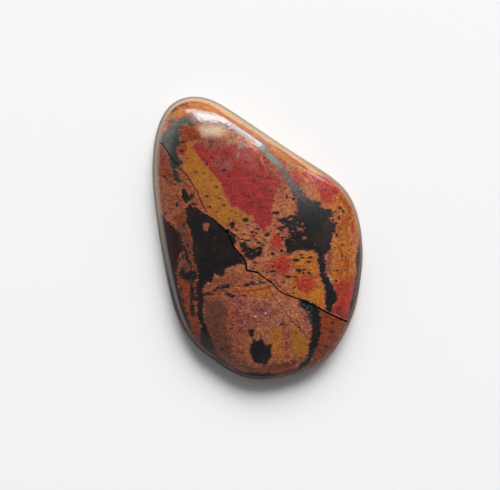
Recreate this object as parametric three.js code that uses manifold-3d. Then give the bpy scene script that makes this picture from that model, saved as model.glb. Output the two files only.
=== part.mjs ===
// A mugglestone cabochon: one piece of banded ironstone and jasper, cut freehand and polished.
// It has a flat ground back, a small bevel round the back's edge, a leaning girdle and a domed face,
// and two healed fractures cross the face as open hairlines.
// Units are millimetres. +Z points out of the domed face, and the origin is the middle of the flat back.
import * as THREE from "three";
import { mergeVertices } from "three/addons/utils/BufferGeometryUtils.js";
import Module from "manifold-3d";

// Heights above the flat back.
const HEIGHT = 3.9;
const BEVEL_TOP = 0.3;
const GIRDLE_TOP = 1.8;

// How far the surface stands in from the widest outline.
const BEVEL_INSET = 0.3;
const GIRDLE_LEAN = 0.32;
const LEAN_SWING = 0.13; // the girdle leans more than the mean on the side that LEAN_SIDE faces
const LEAN_SIDE = THREE.MathUtils.degToRad(115);

// The dome's highest point, and the ellipse that its contours turn into there.
const CROWN = new THREE.Vector2(0.3, -1.0);
const CROWN_HALF_WIDTH = 8.6;
const CROWN_HALF_LENGTH = 12.4;
const CROWN_TURN = THREE.MathUtils.degToRad(15); // the long axis leans towards -X at the +Y end

// The dome rolls over a shoulder above the girdle. These sizes hold where the crown is SHOULDER_AT away, and
// they grow with the square of that distance, so the two ends are rounder than the long sides.
const SHOULDER_AT = 9.3;
const SHOULDER_WIDTH = 1.1;
const SHOULDER_RISE = 0.36;
const SHOULDER_BEND = 2.5; // the higher the power, the more of the bend lies next to the girdle

// Mesh density.
const SPOKES = 112;
const DOME_RINGS = 26;
const RING_CROWDING = 1.5; // above 1, the rings lie closer together on the shoulder than at the crown

// The widest outline runs through these points, counterclockwise from the right.
const OUTLINE = [
  [9.58, -1.0],
  [9.17, 2.0],
  [7.85, 4.6],
  [5.45, 6.45],
  [2.9, 8.07],
  [0.4, 9.74],
  [-2.1, 11.42],
  [-4.3, 12.65],
  [-6.35, 12.87],
  [-8.05, 12.0],
  [-9.08, 10.1],
  [-9.5, 7.7],
  [-9.53, 5.2],
  [-9.28, 2.7],
  [-8.93, 0.2],
  [-8.48, -2.4],
  [-7.94, -5.0],
  [-7.13, -7.5],
  [-5.75, -9.65],
  [-3.9, -11.15],
  [-1.75, -12.47],
  [0.6, -12.85],
  [3.0, -12.46],
  [5.2, -11.6],
  [7.02, -10.1],
  [8.25, -8.05],
  [9.0, -6.0],
  [9.42, -3.5],
].map(([x, y]) => new THREE.Vector2(x, y));

// The two fractures, seen from above. Each is a shallow groove of half-round section.
const FRACTURE_RADIUS = 0.1;
const FRACTURE_SIDES = 6;
const FRACTURE_STEPS_PER_MM = 2.2;
const FRACTURES = [
  [
    [-9.05, 8.85],
    [-8.3, 8.0],
    [-7.6, 7.0],
    [-6.6, 6.0],
    [-5.7, 4.7],
    [-5.2, 3.5],
    [-4.6, 2.3],
  ],
  [
    [-5.6, 2.75],
    [-4.4, 2.0],
    [-3.45, 1.2],
    [-2.55, 0.2],
    [-2.1, -0.85],
    [-1.3, -1.75],
    [-0.97, -2.85],
    [0.1, -3.15],
    [1.2, -3.95],
    [2.6, -5.1],
    [4.0, -5.6],
    [5.6, -6.35],
    [7.1, -7.1],
    [8.15, -7.6],
  ],
];

// A closed uniform cubic B-spline, whose curvature has no jumps, through a ring of points.
class ClosedSpline extends THREE.Curve {
  constructor(points) {
    super();
    this.controls = controlsThrough(points);
  }

  getPoint(turn, target = new THREE.Vector2()) {
    const count = this.controls.length;
    const at = (turn - Math.floor(turn)) * count;
    const first = Math.floor(at);
    const f = at - first;
    const weights = [
      (1 - f) ** 3,
      3 * f ** 3 - 6 * f ** 2 + 4,
      -3 * f ** 3 + 3 * f ** 2 + 3 * f + 1,
      f ** 3,
    ];
    target.set(0, 0);
    weights.forEach((weight, k) =>
      target.addScaledVector(this.controls[(first + k + count - 1) % count], weight / 6),
    );
    return target;
  }

  // The unit normal that points out of a counterclockwise ring.
  getNormal(turn) {
    const step = 1e-4;
    const along = this.getPoint(turn + step).sub(this.getPoint(turn - step));
    return new THREE.Vector2(along.y, -along.x).normalize();
  }
}

// Each pass moves the control points by what the spline still misses the points by.
function controlsThrough(points) {
  const count = points.length;
  const passes = 40;
  let controls = points.map((point) => point.clone());
  for (let pass = 0; pass < passes; pass++)
    controls = controls.map((control, i) => {
      const reached = control.clone().multiplyScalar(4);
      reached.add(controls[(i + count - 1) % count]).add(controls[(i + 1) % count]).divideScalar(6);
      return control.clone().add(points[i]).sub(reached);
    });
  return controls;
}

// How far the surface stands in from the outline at a level, on the side that the normal faces.
function insetAt(level, normal) {
  if (level < BEVEL_TOP) return BEVEL_INSET * (1 - level / BEVEL_TOP);
  const side = Math.atan2(normal.y, normal.x);
  const lean = GIRDLE_LEAN + LEAN_SWING * Math.cos(side - LEAN_SIDE);
  return (lean * (Math.min(level, GIRDLE_TOP) - BEVEL_TOP)) / (GIRDLE_TOP - BEVEL_TOP);
}

// The crown ellipse's point in the direction of a vector from the crown.
function onCrownEllipse(towards) {
  const turned = towards.clone().rotateAround(new THREE.Vector2(), -CROWN_TURN);
  const size = Math.hypot(turned.x / CROWN_HALF_WIDTH, turned.y / CROWN_HALF_LENGTH);
  return towards.clone().divideScalar(size);
}

// The dome's height where the girdle is `way` from the crown. reach is 1 on the girdle and 0 at the crown.
function domeHeight(reach, way) {
  const growth = (way / SHOULDER_AT) ** 2;
  const left = Math.max(0, 1 - ((1 - reach) * way) / (SHOULDER_WIDTH * growth));
  const shoulder = SHOULDER_RISE * growth;
  const crown = HEIGHT - GIRDLE_TOP - shoulder;
  return GIRDLE_TOP + shoulder * (1 - left ** SHOULDER_BEND) + crown * (1 - reach ** 2);
}

// The section of a flat disc with a bevelled back, as (reach, level), from the middle of the back.
function discSection() {
  const points = [
    new THREE.Vector2(0, 0),
    new THREE.Vector2(1, 0),
    new THREE.Vector2(1, BEVEL_TOP),
    new THREE.Vector2(1, (BEVEL_TOP + GIRDLE_TOP) / 2),
  ];
  for (let ring = 0; ring <= DOME_RINGS; ring++)
    points.push(new THREE.Vector2(1 - (ring / DOME_RINGS) ** RING_CROWDING, HEIGHT));
  return points;
}

// A lathe gives the disc. Each ring is drawn out from a circle to the stone's own contour, which turns into
// the ellipse towards the crown, and the disc's top is pressed down to the dome.
function stoneGeometry() {
  const outline = new ClosedSpline(OUTLINE);
  const geometry = new THREE.LatheGeometry(discSection(), SPOKES);
  const place = geometry.getAttribute("position");
  for (let i = 0; i < place.count; i++) {
    const level = place.getY(i);
    const reach = Math.hypot(place.getX(i), place.getZ(i));
    const turn = Math.atan2(place.getX(i), place.getZ(i)) / (2 * Math.PI);
    const normal = outline.getNormal(turn);
    const edge = outline.getPoint(turn).addScaledVector(normal, -insetAt(level, normal)).sub(CROWN);
    const height = Math.min(level, domeHeight(reach, edge.length()));
    const contour = onCrownEllipse(edge).lerp(edge, THREE.MathUtils.smoothstep(reach, 0, 1));
    const plan = contour.multiplyScalar(reach).add(CROWN);
    place.setXYZ(i, plan.x, plan.y, height);
  }
  return geometry;
}

// A round bar that lies along a fracture, half sunk in the dome, and cuts its open line.
function fractureCutter(stone, path) {
  const plan = new THREE.SplineCurve(path.map(([x, y]) => new THREE.Vector2(x, y)));
  const steps = Math.round(plan.getLength() * FRACTURE_STEPS_PER_MM);
  const caster = new THREE.Raycaster();
  const down = new THREE.Vector3(0, 0, -1);
  const onFace = plan.getSpacedPoints(steps).map(({ x, y }) => {
    caster.set(new THREE.Vector3(x, y, 2 * HEIGHT), down);
    return caster.intersectObject(stone)[0].point;
  });
  const circle = new THREE.Path().absarc(0, 0, FRACTURE_RADIUS, 0, 2 * Math.PI);
  const section = new THREE.Shape(circle.getPoints(FRACTURE_SIDES).slice(0, FRACTURE_SIDES));
  const extrudePath = new THREE.CatmullRomCurve3(onFace);
  return new THREE.ExtrudeGeometry(section, { steps, extrudePath, bevelEnabled: false });
}

// A closed three.js geometry as a manifold-3d solid, and back.
function toSolid(wasm, geometry) {
  const bare = geometry.clone();
  bare.deleteAttribute("normal");
  bare.deleteAttribute("uv");
  const merged = mergeVertices(bare, 1e-4);
  const vertProperties = new Float32Array(merged.getAttribute("position").array);
  const triVerts = new Uint32Array(merged.index.array);
  return new wasm.Manifold(new wasm.Mesh({ numProp: 3, vertProperties, triVerts }));
}

function toGeometry(solid) {
  const mesh = solid.getMesh();
  const geometry = new THREE.BufferGeometry();
  geometry.setAttribute("position", new THREE.BufferAttribute(mesh.vertProperties, 3));
  geometry.setIndex(new THREE.BufferAttribute(mesh.triVerts, 1));
  return geometry;
}

const wasm = await Module();
wasm.setup();

const blank = new THREE.Mesh(stoneGeometry());
const cutters = FRACTURES.map((path) => toSolid(wasm, fractureCutter(blank, path)));
const cut = cutters.reduce((solid, cutter) => solid.subtract(cutter), toSolid(wasm, blank.geometry));

const geometry = toGeometry(cut);
geometry.computeBoundingBox();
const middle = geometry.boundingBox.getCenter(new THREE.Vector3());
geometry.translate(-middle.x, -middle.y, 0);
geometry.computeVertexNormals();

const stone = new THREE.Mesh(
  geometry,
  new THREE.MeshStandardMaterial({ color: 0x9a5a2e, roughness: 0.18, metalness: 0 }),
);
stone.name = "mugglestone";

const part = new THREE.Group();
part.add(stone);
export default part;
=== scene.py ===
import functools
import math

import bpy
import numpy as np
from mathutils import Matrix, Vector
from mathutils.geometry import delaunay_2d_cdt


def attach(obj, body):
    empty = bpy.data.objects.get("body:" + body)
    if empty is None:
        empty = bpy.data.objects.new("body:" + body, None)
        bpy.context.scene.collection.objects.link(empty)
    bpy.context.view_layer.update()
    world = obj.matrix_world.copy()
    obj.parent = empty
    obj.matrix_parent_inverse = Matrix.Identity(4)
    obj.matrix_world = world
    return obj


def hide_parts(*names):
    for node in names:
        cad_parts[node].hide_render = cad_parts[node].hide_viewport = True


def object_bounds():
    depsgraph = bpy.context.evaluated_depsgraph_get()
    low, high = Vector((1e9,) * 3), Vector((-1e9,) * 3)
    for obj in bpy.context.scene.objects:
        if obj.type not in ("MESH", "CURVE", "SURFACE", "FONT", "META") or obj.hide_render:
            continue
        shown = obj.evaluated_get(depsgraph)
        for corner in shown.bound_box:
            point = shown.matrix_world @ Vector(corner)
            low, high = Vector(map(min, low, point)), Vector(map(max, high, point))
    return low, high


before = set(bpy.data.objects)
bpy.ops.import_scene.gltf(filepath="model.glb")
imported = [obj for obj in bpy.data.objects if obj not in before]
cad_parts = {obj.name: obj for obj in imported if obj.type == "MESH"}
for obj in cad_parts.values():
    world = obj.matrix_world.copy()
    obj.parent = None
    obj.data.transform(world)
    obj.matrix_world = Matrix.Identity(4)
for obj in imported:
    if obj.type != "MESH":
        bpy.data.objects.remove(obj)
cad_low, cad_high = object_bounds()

# The stone is worked out in millimetres, in the frame of its outline, and is put in the row frame at the end.
MM = 0.001

# The form, as the solid has it.
HEIGHT = 3.9
BEVEL_TOP = 0.3
GIRDLE_TOP = 1.8
BEVEL_INSET = 0.3
GIRDLE_LEAN = 0.32
LEAN_SWING = 0.13
LEAN_SIDE = math.radians(115)
CROWN = np.array([0.3, -1.0])
CROWN_HALF_WIDTH = 8.6
CROWN_HALF_LENGTH = 12.4
CROWN_TURN = math.radians(15)
SHOULDER_AT = 9.3
SHOULDER_WIDTH = 1.1
SHOULDER_RISE = 0.36
SHOULDER_BEND = 2.5
OUTLINE = np.array([
    (9.58, -1), (9.17, 2), (7.85, 4.6), (5.45, 6.45), (2.9, 8.07), (0.4, 9.74), (-2.1, 11.42), (-4.3, 12.65),
    (-6.35, 12.87), (-8.05, 12), (-9.08, 10.1), (-9.5, 7.7), (-9.53, 5.2), (-9.28, 2.7), (-8.93, 0.2),
    (-8.48, -2.4), (-7.94, -5), (-7.13, -7.5), (-5.75, -9.65), (-3.9, -11.15), (-1.75, -12.47), (0.6, -12.85),
    (3, -12.46), (5.2, -11.6), (7.02, -10.1), (8.25, -8.05), (9, -6), (9.42, -3.5),
])

# Hand polishing left the face uneven. Along the upper right side it rises up to a knee and falls beyond.
# There, and on the left, its shoulder lies nearer to the girdle than the solid's does.
KNEE = np.array([1.5, 8.0])
KNEE_WAY = np.array([0.835, -0.55])  # down along that side
KNEE_ROUNDING = 0.5
RISE_SLOPE = 0.03
RISE_LENGTH = 4.5
FALL_SLOPE = 0.062
SHOULDER_SHIFT = 0.42
EDGE_SHIFT = 0.18
SHIFT_FADE = 2.5  # how far in from the girdle the two shifts reach
FOOT_WAY = (0.55, -0.835)  # towards the lower right

# How fine the mesh is.
FACE_STEP = 0.085
BACK_STEP = 0.3
RIM_STEP = 0.12
RIM_LENGTH = 70  # about how long the girdle is
GIRDLE_RINGS = 13
BEVEL_RINGS = 3

# The rock's patches of colour on the face, seen from above: their two colours, how ragged and how soft their
# edges are, in millimetres, and their shapes. The later ones lie over the earlier.
PATCHES = {}
PATCHES["brick"] = (162, 92, 60), (120, 62, 46), 1, 0.3, [
    [(-9.6, 5.6), (-8.4, 5.3), (-7.6, 5.2), (-7.2, 4.6), (-6.9, 3.6), (-6.6, 3), (-6.5, 1.6), (-7.6, 1.5),
     (-8.2, 1.8), (-9, 2.6), (-9.6, 4)],
    [(-7.3, 6.7), (-6.8, 6.6), (-6.2, 5.5), (-5.6, 4.5), (-5.2, 3.4), (-4.7, 2.4), (-5.5, 2.6), (-6.3, 3),
     (-6.8, 3.9), (-6.9, 4.9), (-7.2, 5.9)],
    [(-5.3, 2.3), (-4.6, 2.2), (-3.6, 1.5), (-4.4, 1.3), (-5, 1.5)],
    [(-5, -4.3), (-3.8, -3.6), (-2.6, -3), (-1.6, -3.2), (-1.2, -3.9), (-2.2, -4.4), (-2.4, -4.9),
     (-3.6, -5.3), (-4.9, -5.4)],
]
PATCHES["rust"] = (146, 68, 36), (106, 48, 32), 1, 0.2, [
    [(-7.6, 1.7), (-6.5, 2.8), (-6.3, 1.2), (-6, 0.2), (-5.8, -1.5), (-5.5, -2.5), (-5.4, -4), (-5.4, -5.5),
     (-5.7, -6.4), (-5.2, -7.5), (-5, -9), (-4.2, -10.6), (-5.4, -10.4), (-6.3, -9), (-6.8, -7.6), (-7.2, -5),
     (-7.4, -3), (-7, -1.5), (-6.7, -0.6), (-7.1, 0.6)],
    [(5.6, -6.4), (6.6, -6.9), (7.6, -7.3), (8.1, -7.8), (7.6, -9.2), (6.6, -10.6), (5.4, -11.6),
     (4.4, -12.2), (5, -10.8), (5.4, -9.6), (5.6, -8)],
    [(-9.3, 8.8), (-8.6, 8.5), (-8.1, 7.5), (-7.9, 6.6), (-7.5, 5.3), (-8.4, 5.5), (-9.5, 5.6), (-9.5, 7.2)],
    [(-7.1, 10.3), (-6, 10.2), (-5.2, 9.6), (-5, 8.9), (-5.7, 8.8), (-6.6, 8.8), (-7.2, 8.2), (-7.5, 7.6),
     (-6.6, 7.4), (-6.3, 8.5), (-7.1, 9)],
    [(-1.5, -11.4), (0.2, -12), (2, -11.4), (3.4, -11.2), (3.7, -12.2), (1, -12.9), (-1.8, -12.6)],
]
PATCHES["umber"] = (118, 70, 54), (88, 54, 44), 1.8, 0.5, [
    [(-7.5, 1.2), (-6.6, 1.8), (-6.1, 0), (-5.9, -2.4), (-6.4, -3.2), (-6.9, -2.4), (-6.8, -0.8)],
    [(-5, -5.4), (-4, -5.4), (-3.2, -5.5), (-2.5, -6), (-2.4, -7.2), (-2.3, -8.2), (-2, -9.5), (-1.9, -11),
     (-0.6, -11.9), (1.8, -12.1), (1, -13), (-2, -12.8), (-4.4, -10.8), (-5, -8)],
]
PATCHES["plum"] = (170, 94, 64), (114, 54, 58), 2.2, 0.5, [
    [(-2.7, -5.2), (-1.4, -5.3), (0.2, -5.7), (1.2, -5.9), (1.8, -6.6), (1.7, -7.4), (0.6, -7.3),
     (-0.6, -7.9), (-1.2, -9), (-1.3, -10.3), (-1.1, -11.4), (-2, -11), (-2.5, -9.2), (-2.9, -7.6),
     (-2.8, -6.4)],
    [(2.2, -7.7), (2.8, -7.9), (2.9, -9.4), (2.9, -10.6), (2.4, -10.9), (2.2, -9.6)],
    [(4, -6.3), (4.6, -6.7), (5, -7.4), (5, -8.7), (4.6, -9), (4.3, -8.2), (4, -7.4)],
    [(6.2, -0.9), (6.9, -1.2), (6.8, -2.2), (6.6, -3.3), (6.2, -3.6), (6.1, -2.4)],
]
PATCHES["amber"] = (190, 118, 46), (158, 84, 38), 1.2, 0.2, [
    [(7.5, 4.5), (8.3, 4.1), (9.3, 2.4), (9.6, 0.5), (9.4, -1), (9, -2.4), (9, -4.4), (7.9, -4.4),
     (7.1, -4.5), (6.6, -3.6), (6.9, -2.4), (6.7, -1.2), (6.9, -0.2), (7.2, 0.9), (7, 2.4), (6.4, 2.9),
     (6.6, 3.3), (7.3, 3.9)],
    [(2.9, -1.5), (3.9, -1), (5, -1.1), (5.5, -1.6), (5.4, -2.4), (5.6, -3.4), (6, -4.2), (6.1, -5.6),
     (6, -6.5), (5, -6), (3.4, -5.2), (2.8, -4.4), (3.1, -3.3), (3.3, -2.4)],
    [(1, 7.6), (1.6, 8.2), (3, 7.6), (4, 6.7), (4.4, 6), (3.9, 5.4), (3.4, 6.2), (2.8, 6.6), (2.2, 7.1)],
    [(-2.2, -4.5), (-0.5, -4.5), (0.8, -4.4), (1.2, -4.8), (1.5, -5.3), (0, -5), (-1.2, -4.85)],
    [(1.4, -8), (2.1, -8.3), (2.2, -9.5), (2.2, -10.8), (1.5, -10.6), (1.3, -9.4)],
    [(-9.2, 10), (-8.4, 11.7), (-7.2, 12.6), (-5.4, 12.7), (-3.4, 12.1), (0.4, 9.7), (1.6, 8.8), (0.8, 8.6),
     (-1, 9.6), (-3, 10.9), (-5, 11.6), (-6.4, 11.4), (-7.2, 11), (-8.3, 10.9), (-8.6, 9.8)],
]
PATCHES["ochre"] = (170, 112, 44), (150, 86, 42), 0.5, 0.1, [
    [(-6.5, 8.6), (-5.8, 8.7), (-5.7, 8), (-5.2, 7.2), (-4.5, 6.5), (-4, 5.8), (-3.5, 5.2), (-3.1, 4.4),
     (-2.9, 3.7), (-2.5, 3), (-1.8, 2.7), (-1, 2.3), (-0.3, 1.9), (-0.4, 1.3), (-1.6, 1.4), (-3, 1),
     (-3.4, 1.4), (-4.3, 2.2), (-4.8, 3), (-5.3, 4.2), (-6, 5.2), (-6.7, 6.4), (-6.8, 7.2), (-6.2, 8.2)],
    [(1.6, 8.05), (2.3, 7.8), (3.2, 7.1), (4, 6.5), (4.5, 5.8), (4.2, 5.7), (3.4, 6.4), (2.6, 7), (1.8, 7.5)],
    [(3, -7.8), (3.6, -8.2), (4.4, -9), (4.6, -9.6), (4.4, -10.3), (3.9, -10.8), (3.3, -10.7), (3.2, -9.5),
     (3, -8.8)],
]
PATCHES["crimson"] = (158, 55, 50), (126, 40, 42), 1, 0.12, [
    [(-5.9, 8.4), (-5, 9), (-4, 8.7), (-3, 8.4), (-2.2, 8.6), (-1.5, 8.4), (-0.5, 8.2), (0.2, 7.6),
     (0.4, 6.8), (0.9, 6), (1.6, 5.8), (2.3, 5.4), (2.2, 4.8), (1.6, 4.1), (1.5, 3.2), (1.3, 2.5), (1.4, 1.7),
     (1.1, 1.1), (0.6, 0.8), (0.2, 1), (-0.2, 1.4), (-0.4, 1.9), (-1, 2.3), (-1.8, 2.7), (-2.4, 3),
     (-2.9, 3.8), (-3.2, 4.6), (-3.5, 5.3), (-4.1, 5.9), (-4.7, 6.7), (-5.3, 7.3), (-5.7, 8)],
    [(6.9, -5.6), (8, -5.9), (8.9, -5.4), (8.6, -6.5), (8.2, -7.5), (7.2, -7), (6.7, -6.7), (7, -5.9)],
]
PATCHES["scarlet"] = (182, 66, 44), (142, 44, 38), 1.6, 0.3, [
    [(4.2, 6.7), (5, 6.2), (6, 5.6), (7, 5.1), (7.7, 4.4), (7.3, 4), (6.9, 3.5), (6.4, 3.1), (5.8, 3.2),
     (5.7, 3.9), (5.5, 4.4), (5.2, 5), (4.5, 5.5), (4, 5.9)],
    [(1.3, 0.4), (1.9, 0.4), (2.2, -0.1), (2.4, -0.9), (1.7, -1), (1.1, -0.8)],
    [(3.3, -3.7), (4.2, -3.4), (5.2, -3.6), (5.3, -4.4), (4.6, -5), (3.8, -4.8)],
    [(7, -4), (8.9, -3.6), (8.9, -5.8), (8.3, -6.5), (7.4, -6.3), (6.9, -5.6)],
    [(0.6, -2.6), (1.4, -2), (2.2, -1.6), (2.9, -1.7), (3.1, -2.3), (2.9, -3), (2.3, -3.4), (1.8, -3.2),
     (1.4, -2.7)],
    [(3, 6), (3.6, 6.2), (4, 5.6), (4.1, 5), (3.6, 5), (3.1, 5.5)],
    [(1.8, 7.3), (2.4, 7.1), (2.8, 6.5), (2.4, 6.5)],
]
PATCHES["mauve"] = (136, 86, 74), (128, 52, 50), 2, 0.4, [
    [(-5.4, 8.9), (-4.2, 9.3), (-3.2, 8.9), (-2.6, 8.4), (-3.6, 8), (-4.6, 8)],
    [(-3.9, 7.4), (-2.4, 7.2), (-2.3, 6.4), (-3, 6), (-3.9, 6.4)],
]
# Maroon. The first polygon, along the bottom edge, is painted shade where the bottom slope faces away from
# the light; the second is the rock's own dark patch on the left.
PATCHES["maroon"] = (50, 26, 24), (34, 18, 20), 1.2, 0.1, [
    [(-3.2, -11.9), (-1.5, -12.1), (0.5, -12.25), (2.4, -12.4), (1.5, -13), (-1, -13), (-3.5, -12.2)],
    [(-9.6, 2.6), (-8.7, 2.2), (-8.1, 1.5), (-7.6, 1.2), (-7.2, 0.7), (-6.9, 0), (-6.6, -0.8), (-7, -1.4),
     (-7.1, -2), (-7.3, -3), (-7.2, -4), (-7, -5), (-6.75, -6), (-6.45, -7), (-6.15, -8), (-5.7, -9),
     (-5.1, -10.2), (-6.6, -10), (-8, -7.5), (-8.8, -3), (-9.4, 1)],
]
PATCHES["honey"] = (206, 156, 76), (182, 122, 56), 0.4, 0.1, [
    [(-9.3, 10.2), (-8.9, 11.3), (-8, 12.4), (-6.4, 13), (-4.2, 12.9), (-2, 11.7), (0.5, 10), (3, 8.3),
     (5.5, 6.7), (6.6, 6), (6.3, 5.6), (5.4, 5.8), (4.6, 6.2), (3.95, 6.75), (3, 7.4), (2.1, 8.05),
     (0.8, 8.8), (-0.1, 9.45), (-1.2, 10.15), (-2.4, 10.85), (-3.4, 11.5), (-4.3, 12.05), (-5.1, 12.35),
     (-6, 12.45), (-6.9, 12.35), (-7.7, 11.95), (-8.4, 11.05), (-8.82, 10.3)],
]
PATCHES["ash"] = (140, 108, 98), (116, 84, 78), 1, 0.2, [
    [(-6.3, 11.4), (-5.2, 11.65), (-4, 11.4), (-2.6, 10.7), (-1, 9.65), (0.1, 8.95), (0, 8.6), (-1.5, 9.25),
     (-3, 10), (-4.4, 10.45), (-5.5, 10.5), (-6.2, 10.9)],
]
# A pale cream patch: partly the rock's own colour and partly a painted reflection of a second soft light.
PATCHES["cream"] = (212, 194, 164), (200, 174, 146), 0.5, 0.5, [
    [(-5.2, 10.1), (-4.2, 10.25), (-3.2, 10.1), (-3, 9.6), (-3.5, 9.3), (-4.6, 9.35), (-5.1, 9.6)],
]
PATCHES["russet"] = (158, 84, 52), (128, 52, 44), 2.2, 0.4, [
    [(0.3, 7.9), (1.3, 7.1), (2.1, 6.1), (2.6, 5), (2.8, 4.2), (1.9, 3.9), (2, 4.6), (1.9, 5.3), (1.1, 6),
     (0.5, 6.8)],
]

# Where the pattern changes. Islands of rock break up the iron in "broken". In the silver zone the iron is
# light grey: on the left it reflects more, and on the right the grey is a painted sheen.
ZONES = {}
ZONES["flecked"] = [
    [(-3.4, 2.6), (-1.8, 2.4), (-0.2, 1.6), (0.8, 0.8), (2, 1.4), (2.6, 0.6), (2.4, -1.2), (5.3, -1.4),
     (5.4, -3.8), (3, -4.7), (0.9, -4.2), (0.4, -4.9), (-4.9, -5.4), (-4.6, -3.9), (-2.8, -3), (-1.2, -2.8),
     (-1.3, -1.6), (-2.2, -0.2)],
    [(1.6, 3.6), (1.6, 5.6), (0.8, 6.4), (1.6, 6.8), (2.6, 5.2), (3.4, 4.2), (3.6, 2.4), (2, 2)],
    [(6.9, 3), (8.2, 3), (8, 0), (7, 0)],
    [(-7.4, 1), (-6.2, 1.6), (-5.9, -1), (-5.6, -4), (-6.2, -7.4), (-7, -4), (-6.6, -1.6)],
    [(0.8, -7.2), (3, -7.2), (2.8, -8.2), (1.2, -8.2)],
    [(-1.6, -11.2), (2, -11), (4, -10.6), (3, -12), (0, -12.2)],
]
ZONES["streaked"] = [
    [(7.3, 4.6), (9, 2.6), (9.5, 0), (9.2, -5), (7.4, -5.4), (7.3, -3), (7, -0.8), (7.3, 1.4)],
]
ZONES["broken"] = [
    [(1.2, 2.4), (3.5, 2.3), (4.6, 1.4), (4.4, -0.2), (3.2, -0.4), (2, -0.7), (1.4, 0.6)],
    [(-3.6, 1.6), (-2.2, 1.8), (-1, -0.2), (0.6, -0.6), (0.6, -1.8), (-0.8, -2.2), (-1.6, -1.6),
     (-2.6, -0.4)],
    [(-7, -2.6), (-5.5, -2.6), (-5.4, -4.4), (-5.2, -7.4), (-6.4, -7), (-7, -4)],
    [(4.2, -6.2), (5.1, -6.6), (5.3, -8), (5, -9.2), (4.4, -8.4)],
    [(2, -12.8), (4.4, -12.4), (4.8, -11), (3.8, -11)],
]
ZONES["grainy"] = [
    [(-5.4, 10.75), (-4.4, 10.65), (-3.6, 10.7), (-2.8, 10.4), (-1.6, 9.6), (-0.6, 8.9), (0.2, 8.3),
     (-0.2, 8), (-1, 8.4), (-2, 9.1), (-3.2, 9.8), (-4.4, 10.2), (-5.4, 10.4)],
    [(-2.6, -5.4), (1.8, -5.4), (5, -6.2), (5, -8.6), (2.2, -8.4), (-1, -8.2)],
]
# The first polygon's iron reflects more; the second's light grey, on the right, is a painted sheen.
ZONES["silver_and_painted_sheen"] = [
    [(-9.4, 9.4), (-8.4, 11), (-5.4, 11.2), (-5.4, 9.6), (-6.4, 8), (-6.3, 4.6), (-7.9, 4.6), (-8.6, 6.6)],
    [(-0.6, 9.2), (1, 8.6), (2.6, 6.8), (1.7, 6.3), (0.6, 7.2)],
]
ZONES["threaded"] = [
    [(1.4, 7.6), (5, 6.2), (7.6, 4.8), (8.8, 3), (9.2, 0), (9, -5), (7.2, -5.4), (7, 0.5), (7, 2.6),
     (5.4, 3.4), (3.6, 5), (2.4, 6.6)],
]

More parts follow.
